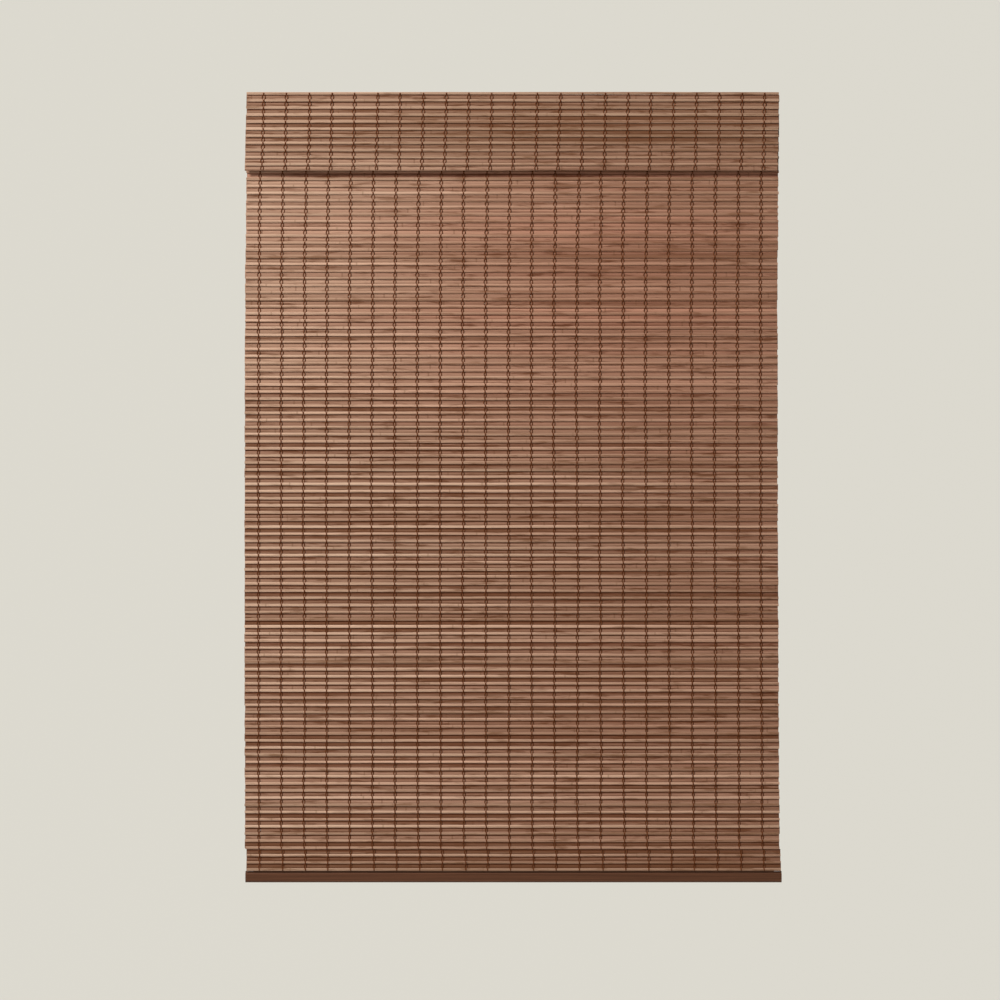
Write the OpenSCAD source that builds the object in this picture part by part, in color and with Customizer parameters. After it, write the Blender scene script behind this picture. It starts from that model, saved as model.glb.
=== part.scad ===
// Cordless bamboo roman shade, shown fully lowered.
// The origin is the centre of the bracket screws on the mounting plane. +Z is up, and the front faces -Y.
// Everything hangs below z = 0. Sizes are in millimetres.

/* [Shade] */
// Width of the woven mat
shade_w = 914; // [760:1:1200]
// Height of one row of the weave: a gap, a flat slat and a reed
row_pitch = 12.2; // [11.6:0.1:14]
// Rows in each fold section
fold_rows = 9; // [7:1:12]
// Rows of the fixed panel behind the valance
upper_rows = 12; // [12:1:15]
// Rows of the mat below the last fold
lower_rows = 4; // [4:1:8]
// Rows of the facing that covers the bottom rail
hem_rows = 3; // [3:1:5]
// Rows of the valance
valance_rows = 11; // [8:1:11]

/* [Weave] */
// Depth of the mat, from the front of its reeds to their back
mat_t = 3.2; // [3:0.1:4]
// Height of a flat slat
slat_h = 5.6; // [4.8:0.1:6.2]
// Depth of a flat slat
slat_t = 1.8; // [1.4:0.1:2.2]
// Height of a reed
reed_h = 3.8; // [3.2:0.1:4.2]
// Closed border at each end of the gaps between the rows
gap_border = 5; // [3:0.5:15]

/* [Headrail] */
// Depth of the headrail channel, front to back
rail_d = 44; // [44:0.5:56]
// Height of the headrail channel
rail_h = 34; // [34:0.5:42]
// Steel thickness of the channel
rail_wall = 1.2; // [0.8:0.1:1.6]
// Distance from each side of the mat to the middle of a bracket
bracket_inset = 57; // [45:1:90]
// Thickness of the hook-and-loop tape under the valance
valance_tape_t = 4; // [3:0.5:8]

/* [Lift] */
// Distance from each side of the mat to an outer lift cord
cord_inset = 127; // [115:1:170]
// Diameter of a lift cord
cord_d = 1.6; // [1.2:0.1:2]
// Radius from the spool axis to the middle of the wound cord
wind_r = 10; // [9.6:0.1:10.4]
// Outer diameter of a ring behind a fold
ring_d = 10; // [9:0.1:10.4]

/* [Bottom rail] */
// Height of the rail's visible lip, its groove included
lip_h = 19; // [16:0.5:28]
// Height of the groove between the lip's face and the facing
lip_groove = 2.8; // [2:0.1:4]
// Depth of the lip
lip_d = 11; // [10:0.5:16]
// Rail length past each side of the mat, its end cap included
rail_over = 1.5; // [0.5:0.5:5]

/* [Hidden] */
FOLDS = 10;

$fn = 64;
eps = 0.5;

// Colours
bamboo_light = [0.62, 0.49, 0.40];
bamboo_mid = [0.56, 0.42, 0.34];
bamboo_dark = [0.49, 0.36, 0.28];
rail_brown = [0.34, 0.23, 0.17];
steel_white = [0.86, 0.85, 0.82];
bare_steel = [0.66, 0.67, 0.68];
pale_plastic = [0.90, 0.89, 0.86];
tape_beige = [0.78, 0.72, 0.63];
cord_tan = [0.72, 0.62, 0.50];

// Headrail channel, hung on hooks under the bracket plates
plate_t = 1.6;
plate_gap = 0.2;
rail_w = shade_w - 8;
rail_top = -plate_t - plate_gap;
rail_bottom = rail_top - rail_h;
rail_floor = rail_bottom + rail_wall;
rail_front = -rail_d / 2;
rail_inner = rail_d / 2 - rail_wall;
lip_w = 6.5;
cap_t = 2.4;
cap_plug = 14;
cap_wall = 2;
plug_fit = 0.2;

// Brackets
bracket_w = 44;
bracket_x = shade_w / 2 - bracket_inset;
hook_t = 1.6;
hook_w = 12;
hook_play = 1;
hook_leg = rail_inner - lip_w - hook_play;
hook_reach = 5.5;
screw_d = 4.8;
screw_rows = 20;
wall_hole_drop = 20;
wall_hole_span = 24;

// Mat planes, front to back
mat_tape_t = 1.5;
mat_back = rail_front - mat_tape_t;
mat_front = mat_back - mat_t;
valance_back = mat_front - valance_tape_t;
tape_h = 20;
tape_top = -10;
tape_in = 12;

// Weave section: a web joins the slats and reeds at the ends of each gap
tail = 0.3;
groove = 0.4;
web_t = 1;
gap_h = row_pitch - slat_h - reed_h - groove - tail;
slat_set_back = 0.1;
slat_back_f = (mat_t - slat_t) / 2 - slat_set_back;
web_back_f = (mat_t - web_t) / 2;
reed_flat = 1.6;
reed_bevel = 0.9;

// Heights of the mat's panels
valance_top = -1.5;
mat_top = -5.2;
fold_l = fold_rows * row_pitch;
function fold_z(i) = mat_top - upper_rows * row_pitch - i * fold_l;
lower_bottom = fold_z(FOLDS) - lower_rows * row_pitch;
hem_gap = 0.5;
hem_top = lower_bottom - hem_gap;
lip_top = hem_top - hem_rows * row_pitch - hem_gap;

// Bottom rail, which hangs a little to the right
hem_shift = 2.5;
tongue_t = 3;
tongue_lap = 11.5;
rail_cap_t = 1.5;
rail_core_w = shade_w + 2 * rail_over - 2 * rail_cap_t;
lip_recess = 1;
lip_front = mat_front + lip_recess;
lip_bevel = 1.2;
foot_bevel = 2.4;

// Lift shaft and spools
cord_span = shade_w / 2 - cord_inset;
cords = [-cord_span, 0, cord_span];
shaft_y = -7;
shaft_rise = 14.6;
shaft_z = rail_floor + shaft_rise;
shaft_af = 6;
hex_fit = 0.1;
cord_y = shaft_y - wind_r;
cord_gap = 0.1;
spool_l = 30;
spool_r = wind_r - cord_d / 2 - cord_gap;
flange_r = 12.2;
flange_t = 1.5;
journal_d = 9;
journal_fit = 0.08;
side_play = 0.3;
cradle_wall = 3;
cradle_base_t = 1.6;
cradle_l = spool_l + 2 * (flange_t + side_play + cradle_wall);
journal_over = 1;
journal_l = cradle_l + 2 * journal_over;
shaft_over = 3;
shaft_l = 2 * cord_span + journal_l + 2 * shaft_over;
bearing_wall = 2.5;

// Cord guides through the headrail floor
guide_d = 5.6;
guide_fit = 0.1;
guide_bore = 3.2;
guide_flange_d = 9;
guide_flange_t = 1.2;

// Spring motor
motor_x = cord_span / 2;
motor_l = 54;
motor_wall = 6;
motor_side = 1.2;
motor_y = rail_inner - plug_fit;
motor_rise = 13;
motor_top = shaft_z + motor_rise;
drum_l = motor_l - 2 * motor_wall - 2 * side_play;
drum_flange_t = 1.2;
output_core_r = 7;
output_flange_r = 11.4;
storage_y = 12;
storage_core_r = 4;
storage_flange_r = 7;
storage_journal_d = 5;
spring_fit = 0.25;
spring_side = 2.5;
spring_w = drum_l - 2 * (drum_flange_t + spring_side);
spring_strip = 0.4;
output_coil_r = 10.4;
storage_coil_r = 6;
motor_screw_d = 2.4;
motor_screw_fit = 0.1;
motor_screw_head_d = 4.6;
motor_screw_head_t = 1.4;
motor_screw_l = 20;
motor_screw_x = motor_l / 2 - motor_wall / 2;
motor_screw_ys = [-16, 17.6];

// Rings, anchors and knots
ring_wire = 1.7;
ring_tie_w = 2.4;
ring_tie_gap = 0.1;
ring_drop = 4;
anchor_drop = 12;
anchor_w = 10;
anchor_h = 8;
anchor_back = 3.5;
anchor_bore = 2.4;
anchor_z = fold_z(FOLDS) - anchor_drop;
knot_r = 2.2;
knot_gap = 0.2;
cord_end = anchor_z - anchor_h / 2 - knot_gap;

// Lays a drawing of (y, z) points along X
module along_x(length) {
    rotate([90, 0, 90]) linear_extrude(length, center = true) children();
}

// A round or hexagonal bar along X, centred on the lift axis unless told otherwise
module bar_x(d, length, y = shaft_y, x = 0, sides = 64) {
    translate([x, y, shaft_z]) rotate([0, 90, 0]) cylinder(d = d, h = length, center = true, $fn = sides);
}

function hex_d(af) = af / cos(30);

// Front outline of one row as [depth from the back plane, drop from the row's top]
function row_front(start) = let (
    slat_top = gap_h,
    slat_end = slat_top + slat_h,
    reed_top = slat_end + groove,
    reed_end = reed_top + reed_h,
    bevel_h = (reed_h - reed_flat) / 2,
    web_f = web_back_f + web_t,
    slat_f = slat_back_f + slat_t
) [
    [web_f, start], [web_f, slat_top], [slat_f, slat_top], [slat_f, slat_end], [web_f, slat_end],
    [web_f, reed_top], [mat_t - reed_bevel, reed_top], [mat_t, reed_top + bevel_h],
    [mat_t, reed_end - bevel_h], [mat_t - reed_bevel, reed_end], [web_f, reed_end]
];

// Back outline of one row, in the same order
function row_back(start) = let (
    slat_top = gap_h,
    slat_end = slat_top + slat_h,
    reed_top = slat_end + groove,
    reed_end = reed_top + reed_h,
    bevel_h = (reed_h - reed_flat) / 2
) [
    [web_back_f, start], [web_back_f, slat_top], [slat_back_f, slat_top], [slat_back_f, slat_end],
    [web_back_f, slat_end], [web_back_f, reed_top], [reed_bevel, reed_top], [0, reed_top + bevel_h],
    [0, reed_end - bevel_h], [reed_bevel, reed_end], [web_back_f, reed_end]
];

function reversed(points) = [for (i = [len(points) - 1:-1:0]) points[i]];

// A woven strip: ridged slats and reeds, with a through gap above every row but the first
module weave(rows, top, back, width) {
    starts = [for (i = [0:rows - 1]) i == 0 ? tail : 0];
    front = [for (i = [0:rows - 1]) for (p = row_front(starts[i])) [back - p[0], top - i * row_pitch - p[1]]];
    rear = [for (i = [0:rows - 1]) for (p = row_back(starts[i])) [back - p[0], top - i * row_pitch - p[1]]];
    difference() {
        along_x(width) polygon(concat(front, reversed(rear)));
        for (i = [1:rows - 1])
            translate([-width / 2 + gap_border, back - mat_t - eps, top - i * row_pitch - gap_h])
                cube([width - 2 * gap_border, mat_t + 2 * eps, gap_h + tail]);
    }
}

module headrail() {
    color(steel_white) difference() {
        translate([-rail_w / 2, rail_front, rail_bottom]) cube([rail_w, rail_d, rail_h]);
        translate([-rail_w / 2 - eps, -rail_inner, rail_floor])
            cube([rail_w + 2 * eps, 2 * rail_inner, rail_h - 2 * rail_wall]);
        translate([-rail_w / 2 - eps, -rail_inner + lip_w, rail_floor])
            cube([rail_w + 2 * eps, 2 * (rail_inner - lip_w), rail_h]);
        for (x = cords)
            translate([x, cord_y, rail_bottom - eps])
                cylinder(d = guide_d + 2 * guide_fit, h = rail_wall + 2 * eps);
    }
}

// side is -1 at the left end and 1 at the right
module headrail_cap(side) {
    plug_d = 2 * (rail_inner - plug_fit);
    plug_h = rail_h - 2 * rail_wall - 2 * plug_fit;
    color(pale_plastic) mirror([side < 0 ? 1 : 0, 0, 0]) {
        translate([rail_w / 2, rail_front, rail_bottom]) cube([cap_t, rail_d, rail_h]);
        difference() {
            translate([rail_w / 2 - cap_plug, -plug_d / 2, rail_floor + plug_fit])
                cube([cap_plug, plug_d, plug_h]);
            translate([rail_w / 2 - cap_plug - eps, -plug_d / 2 + cap_wall, rail_floor + plug_fit + cap_wall])
                cube([cap_plug + eps, plug_d - 2 * cap_wall, plug_h - 2 * cap_wall]);
        }
    }
}

// Plate under the mounting surface, four hooks under the channel's lips and a flange for a wall
module bracket(side) {
    flange_y = rail_d / 2 + plate_gap;
    hook_top = rail_top - rail_wall;
    color(bare_steel) translate([side * bracket_x, 0, 0]) difference() {
        union() {
            translate([-bracket_w / 2, rail_front, -plate_t])
                cube([bracket_w, rail_d / 2 + flange_y + hook_t, plate_t]);
            translate([-bracket_w / 2, flange_y, rail_bottom]) cube([bracket_w, hook_t, rail_h + plate_gap + eps]);
            for (x = [-bracket_w / 2, bracket_w / 2 - hook_w]) for (turn = [0, 1]) mirror([0, turn, 0]) {
                translate([x, hook_leg - hook_t, hook_top - hook_t]) cube([hook_w, hook_t, -hook_top + hook_t - eps]);
                translate([x, hook_leg - hook_t, hook_top - hook_t]) cube([hook_w, hook_t + hook_reach, hook_t]);
            }
        }
        for (y = [-screw_rows / 2, screw_rows / 2])
            translate([0, y, -plate_t - eps]) cylinder(d = screw_d, h = plate_t + 2 * eps);
        for (x = [-wall_hole_span / 2, wall_hole_span / 2])
            translate([x, flange_y - eps, -wall_hole_drop]) rotate([-90, 0, 0])
                cylinder(d = screw_d, h = hook_t + 2 * eps);
    }
}

module lift_shaft() {
    color(bare_steel) bar_x(hex_d(shaft_af), shaft_l, sides = 6);
}

module cord_spool(x) {
    color(pale_plastic) difference() {
        union() {
            bar_x(2 * spool_r, spool_l + flange_t, x = x);
            bar_x(journal_d, journal_l, x = x);
            for (side = [-1, 1]) bar_x(2 * flange_r, flange_t, x = x + side * (spool_l + flange_t) / 2);
        }
        bar_x(hex_d(shaft_af + 2 * hex_fit), journal_l + 2 * eps, x = x, sides = 6);
    }
}

// Two bearing walls on a base that sits on the channel's floor
module spool_cradle(x) {
    wall_top = shaft_z + journal_d / 2 + bearing_wall;
    front = rail_inner - plug_fit;
    color(pale_plastic) difference() {
        union() {
            translate([x - cradle_l / 2, -front, rail_floor]) cube([cradle_l, 2 * front, cradle_base_t]);
            for (side = [-1, 1])
                translate([x + side * (cradle_l - cradle_wall) / 2 - cradle_wall / 2, -front, rail_floor])
                    cube([cradle_wall, 2 * front, wall_top - rail_floor]);
        }
        bar_x(journal_d + 2 * journal_fit, cradle_l + 2 * eps, x = x);
        translate([x, cord_y, rail_floor - eps]) cylinder(d = guide_d + 2 * guide_fit, h = cradle_base_t + 2 * eps);
    }
}

module cord_guides() {
    color(pale_plastic) for (x = cords) translate([x, cord_y, 0]) difference() {
        union() {
            translate([0, 0, rail_bottom - guide_flange_t]) cylinder(d = guide_flange_d, h = guide_flange_t);
            translate([0, 0, rail_bottom - eps]) cylinder(d = guide_d, h = rail_wall + cradle_base_t + eps);
        }
        translate([0, 0, rail_bottom - guide_flange_t - eps])
            cylinder(d = guide_bore, h = guide_flange_t + rail_wall + cradle_base_t + 2 * eps);
    }
}

// The block of the motor between two heights, with its bearings and screw holes cut
module motor_block(low, high) {
    inside_l = motor_l - 2 * motor_wall;
    difference() {
        translate([motor_x - motor_l / 2, -motor_y, low]) cube([motor_l, 2 * motor_y, high - low]);
        translate([motor_x - inside_l / 2, -motor_y + motor_side, rail_floor + cradle_base_t])
            cube([inside_l, 2 * (motor_y - motor_side), motor_top - rail_floor - 2 * cradle_base_t]);
        bar_x(journal_d + 2 * journal_fit, motor_l + 2 * eps, x = motor_x);
        bar_x(storage_journal_d + 2 * journal_fit, motor_l + 2 * eps, y = storage_y, x = motor_x);
        motor_screw_places()
            translate([0, 0, -motor_screw_l]) cylinder(d = motor_screw_d + 2 * motor_screw_fit, h = motor_screw_l + eps);
    }
}

module motor_screw_places() {
    for (side = [-1, 1]) for (y = motor_screw_ys)
        translate([motor_x + side * motor_screw_x, y, motor_top]) children();
}

module motor_housing() {
    color(pale_plastic) motor_block(rail_floor, shaft_z);
}

module motor_cover() {
    color(pale_plastic) motor_block(shaft_z, motor_top);
}

module motor_screws() {
    color(bare_steel) motor_screw_places() {
        cylinder(d = motor_screw_head_d, h = motor_screw_head_t);
        translate([0, 0, eps - motor_screw_l]) cylinder(d = motor_screw_d, h = motor_screw_l);
    }
}

// A flanged drum with journals at both ends
module drum(y, core_r, edge_r, journal) {
    bar_x(2 * core_r, drum_l, y = y, x = motor_x);
    bar_x(journal, motor_l, y = y, x = motor_x);
    for (side = [-1, 1])
        bar_x(2 * edge_r, drum_flange_t, y = y, x = motor_x + side * (drum_l - drum_flange_t) / 2);
}

module output_drum() {
    color(pale_plastic) difference() {
        drum(shaft_y, output_core_r, output_flange_r, journal_d);
        bar_x(hex_d(shaft_af + 2 * hex_fit), motor_l + 2 * eps, x = motor_x, sides = 6);
    }
}

module storage_drum() {
    color(pale_plastic) drum(storage_y, storage_core_r, storage_flange_r, storage_journal_d);
}

// Steel strip coiled on both drums, with the straight run over their tops
module lift_spring() {
    rise = output_coil_r - storage_coil_r;
    color(bare_steel) difference() {
        union() {
            bar_x(2 * output_coil_r, spring_w, x = motor_x);
            bar_x(2 * storage_coil_r, spring_w, y = storage_y, x = motor_x);
            translate([motor_x, 0, shaft_z + output_coil_r]) along_x(spring_w) polygon([
                [shaft_y, 0], [storage_y, -rise], [storage_y, -rise - spring_strip], [shaft_y, -spring_strip]
            ]);
        }
        bar_x(2 * (output_core_r + spring_fit), spring_w + 2 * eps, x = motor_x);
        bar_x(2 * (storage_core_r + spring_fit), spring_w + 2 * eps, y = storage_y, x = motor_x);
    }
}

module mat_tape() {
    color(tape_beige) translate([-rail_w / 2 + tape_in, mat_back, tape_top - tape_h])
        cube([rail_w - 2 * tape_in, mat_tape_t, tape_h]);
}

module valance_tape() {
    color(tape_beige) translate([-rail_w / 2 + tape_in, valance_back, tape_top - tape_h])
        cube([rail_w - 2 * tape_in, valance_tape_t, tape_h]);
}

// The weave starts with a reed here and ends with a slat
module valance() {
    reed_lead = gap_h + slat_h + groove - tail;
    low = valance_top + reed_lead - valance_rows * row_pitch - gap_h - slat_h;
    color(bamboo_light) intersection() {
        weave(valance_rows + 1, valance_top + reed_lead, valance_back, shade_w);
        translate([-shade_w / 2 - eps, valance_back - mat_t - eps, low])
            cube([shade_w + 2 * eps, mat_t + 2 * eps, valance_top - tail - low]);
    }
}

module mat_upper() {
    color(bamboo_mid) weave(upper_rows, mat_top, mat_back, shade_w);
}

// Sections count from 1 below the fixed panel
module mat_fold(i) {
    color(bamboo_mid) weave(fold_rows, fold_z(i - 1), mat_back, shade_w);
}

module mat_lower() {
    color(bamboo_mid) weave(lower_rows, fold_z(FOLDS), mat_back, shade_w);
}

module hem_facing() {
    color(bamboo_dark) translate([hem_shift, 0, 0]) weave(hem_rows, hem_top, mat_back, shade_w);
}

// Section of the lip: bevelled edges, and a groove above its face that is as deep as the mat's back plane
module lip_section() {
    low = lip_top - lip_h;
    rear = lip_front + lip_d;
    face_top = lip_top - lip_groove;
    polygon([
        [lip_front + foot_bevel, low], [rear - lip_bevel, low], [rear, low + lip_bevel],
        [rear, lip_top - lip_bevel], [rear - lip_bevel, lip_top], [mat_back, lip_top], [mat_back, face_top],
        [lip_front + lip_bevel, face_top], [lip_front, face_top - lip_bevel], [lip_front, low + foot_bevel]
    ]);
}

// A lip below the facing, and a tongue behind the facing and the last row of the mat
module bottom_rail() {
    color(rail_brown) translate([hem_shift, 0, 0]) {
        along_x(rail_core_w) lip_section();
        translate([-rail_core_w / 2 + tape_in, mat_back, lip_top - eps])
            cube([rail_core_w - 2 * tape_in, tongue_t, lower_bottom + tongue_lap - lip_top + eps]);
    }
}

module bottom_rail_cap(side) {
    color(rail_brown) translate([hem_shift + side * (rail_core_w + rail_cap_t) / 2, 0, 0])
        along_x(rail_cap_t) lip_section();
}

// Three rings round the lift cords, each tied to the back of the mat at height z
module ring_row(z) {
    tie_end = mat_back + ring_tie_gap;
    color(pale_plastic) for (x = cords) translate([x, 0, z]) {
        translate([0, cord_y, 0]) rotate_extrude() translate([(ring_d - ring_wire) / 2, 0]) circle(d = ring_wire);
        translate([-ring_tie_w / 2, tie_end, -ring_wire / 2])
            cube([ring_tie_w, cord_y - ring_d / 2 + ring_wire / 2 - tie_end, ring_wire]);
    }
}

module cord_anchors() {
    front = mat_back + ring_tie_gap;
    color(pale_plastic) for (x = cords) difference() {
        translate([x - anchor_w / 2, front, anchor_z - anchor_h / 2])
            cube([anchor_w, cord_y + anchor_back - front, anchor_h]);
        translate([x, cord_y, anchor_z - anchor_h / 2 - eps]) cylinder(d = anchor_bore, h = anchor_h + 2 * eps);
    }
}

module cord_knots() {
    color(cord_tan) for (x = cords) translate([x, cord_y, cord_end - knot_r]) sphere(r = knot_r);
}

module lift_cord(x) {
    color(cord_tan) translate([x, cord_y, cord_end]) cylinder(d = cord_d, h = shaft_z - cord_end);
}

headrail();
headrail_cap(-1);  // headrail_cap_left
headrail_cap(1);  // headrail_cap_right
bracket(-1);  // bracket_left
bracket(1);  // bracket_right
lift_shaft();
cord_spool(cords[0]);  // cord_spool_left
cord_spool(cords[1]);  // cord_spool_centre
cord_spool(cords[2]);  // cord_spool_right
spool_cradle(cords[0]);  // spool_cradle_left
spool_cradle(cords[1]);  // spool_cradle_centre
spool_cradle(cords[2]);  // spool_cradle_right
cord_guides();
motor_housing();
motor_cover();
motor_screws();
output_drum();
storage_drum();
lift_spring();
mat_tape();
valance_tape();
valance();
mat_upper();
mat_fold(1);  // mat_fold_01
mat_fold(2);  // mat_fold_02
mat_fold(3);  // mat_fold_03
mat_fold(4);  // mat_fold_04
mat_fold(5);  // mat_fold_05
mat_fold(6);  // mat_fold_06
mat_fold(7);  // mat_fold_07
mat_fold(8);  // mat_fold_08
mat_fold(9);  // mat_fold_09
mat_fold(10);  // mat_fold_10
mat_lower();
hem_facing();
bottom_rail();
bottom_rail_cap(-1);  // bottom_rail_cap_left
bottom_rail_cap(1);  // bottom_rail_cap_right
ring_row(fold_z(0) + ring_drop);  // ring_row_01
ring_row(fold_z(2));  // ring_row_02
ring_row(fold_z(4));  // ring_row_03
ring_row(fold_z(6));  // ring_row_04
ring_row(fold_z(8));  // ring_row_05
cord_anchors();
cord_knots();
lift_cord(cords[0]);  // lift_cord_left
lift_cord(cords[1]);  // lift_cord_centre
lift_cord(cords[2]);  // lift_cord_right
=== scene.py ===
"""Dresses the woven bamboo roman shade: slats, reeds, warp threads, lift cords, finishes and studio."""

import logging
from dataclasses import dataclass, field
from enum import Enum

import bpy
import numpy as np
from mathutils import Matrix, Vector


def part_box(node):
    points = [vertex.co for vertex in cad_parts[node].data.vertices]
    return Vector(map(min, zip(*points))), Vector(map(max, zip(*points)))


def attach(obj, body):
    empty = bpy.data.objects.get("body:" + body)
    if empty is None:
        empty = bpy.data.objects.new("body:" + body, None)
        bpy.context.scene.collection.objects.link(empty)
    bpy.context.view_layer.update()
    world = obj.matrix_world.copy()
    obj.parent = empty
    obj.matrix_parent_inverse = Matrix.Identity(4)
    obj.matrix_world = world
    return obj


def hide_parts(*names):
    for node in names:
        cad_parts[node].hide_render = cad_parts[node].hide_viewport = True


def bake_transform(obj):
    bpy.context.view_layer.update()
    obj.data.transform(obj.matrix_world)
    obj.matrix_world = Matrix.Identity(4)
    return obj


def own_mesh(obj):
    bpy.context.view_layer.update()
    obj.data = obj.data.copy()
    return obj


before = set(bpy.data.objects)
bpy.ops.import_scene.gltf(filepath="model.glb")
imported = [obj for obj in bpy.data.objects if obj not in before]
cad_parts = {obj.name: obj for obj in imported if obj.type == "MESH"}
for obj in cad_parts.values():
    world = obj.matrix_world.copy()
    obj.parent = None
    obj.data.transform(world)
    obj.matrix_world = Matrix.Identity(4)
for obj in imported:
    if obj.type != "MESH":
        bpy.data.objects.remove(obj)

LOG = logging.getLogger("roman_shade")
MM = 0.001
FULL_TURN = 2.0 * np.pi

# Sockets of a Mix node set to colours, by number, because other kinds of value share their names
MIX_SHARE, MIX_FIRST, MIX_SECOND, MIX_RESULT = 0, 6, 7, 2


def linear(code: str) -> tuple[float, float, float, float]:
    """Turns an sRGB hex colour into the linear colour that a shader takes.

    The sRGB curve is a straight line in the darks and a power of 2.4 above them.

    Args:
        code: six hex digits, red first.

    Returns:
        Linear red, green and blue, and an opacity of 1.
    """
    srgb = np.array([int(code[i : i + 2], 16) for i in (0, 2, 4)]) / 255.0
    low = srgb / 12.92
    high = ((srgb + 0.055) / 1.055) ** 2.4
    red, green, blue = np.where(srgb <= 0.04045, low, high)
    return float(red), float(green), float(blue), 1.0


def add_node(
    tree: bpy.types.NodeTree, kind: str, inputs: dict[int | str, object] | None = None, **settings: object
) -> bpy.types.Node:
    """Adds a node, sets its properties, and sets or links its inputs.

    Args:
        tree: the node tree that takes the node.
        kind: Blender's name of the node type.
        inputs: socket name or number to a value, or to another node's output that is linked in.
        settings: properties of the node itself.

    Returns:
        The new node.
    """
    node = tree.nodes.new(kind)
    for name, value in settings.items():
        setattr(node, name, value)
    for key, value in (inputs or {}).items():
        if isinstance(value, bpy.types.NodeSocket):
            tree.links.new(value, node.inputs[key])
        else:
            node.inputs[key].default_value = value
    return node


def empty_material(name: str) -> tuple[bpy.types.Material, bpy.types.NodeTree]:
    """Makes a node material with nothing in it.

    Args:
        name: the material's name.

    Returns:
        The material and its node tree.
    """
    material = bpy.data.materials.new(name)
    material.use_nodes = True
    material.node_tree.nodes.clear()
    return material, material.node_tree


class Weave(Enum):
    """The three woven strips, by the record's material slot."""

    VALANCE = "bamboo_valance"
    MAT = "bamboo_mat"
    HEM = "bamboo_hem"


class RowOrder(Enum):
    """Which stick of a row comes first, counted from the top of a strip."""

    SLAT_FIRST = "slat"
    REED_FIRST = "reed"


@dataclass(frozen=True)
class GrainLayer:
    """One layer of grain: a noise, and how far it moves a tone.

    size_mm is the usual length, depth and height of a mark. The noise between the two values of reach
    is carried over to the two values of swing.
    """

    size_mm: tuple[float, float, float]
    reach: tuple[float, float]
    swing: tuple[float, float]
    detail: float = 3.0
    roughness: float = 0.5

    def add(
        self, tree: bpy.types.NodeTree, place: bpy.types.NodeSocket
    ) -> tuple[bpy.types.NodeSocket, bpy.types.NodeSocket]:
        """Adds the layer's nodes to a material.

        Args:
            tree: the material's node tree.
            place: the coordinates that the noise is read at.

        Returns:
            The bare noise, and its swing.
        """
        scale = tuple(1.0 / (size * MM) for size in self.size_mm)
        at = add_node(tree, "ShaderNodeMapping", {"Vector": place, "Scale": scale}).outputs[0]
        noise = add_node(
            tree,
            "ShaderNodeTexNoise",
            {"Vector": at, "Scale": 1.0, "Detail": self.detail, "Roughness": self.roughness},
        ).outputs[0]
        # The first five sockets are the value, its two ends, and the two ends that they go to
        ends = dict(enumerate((noise, *self.reach, *self.swing)))
        return noise, add_node(tree, "ShaderNodeMapRange", ends).outputs[0]


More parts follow.
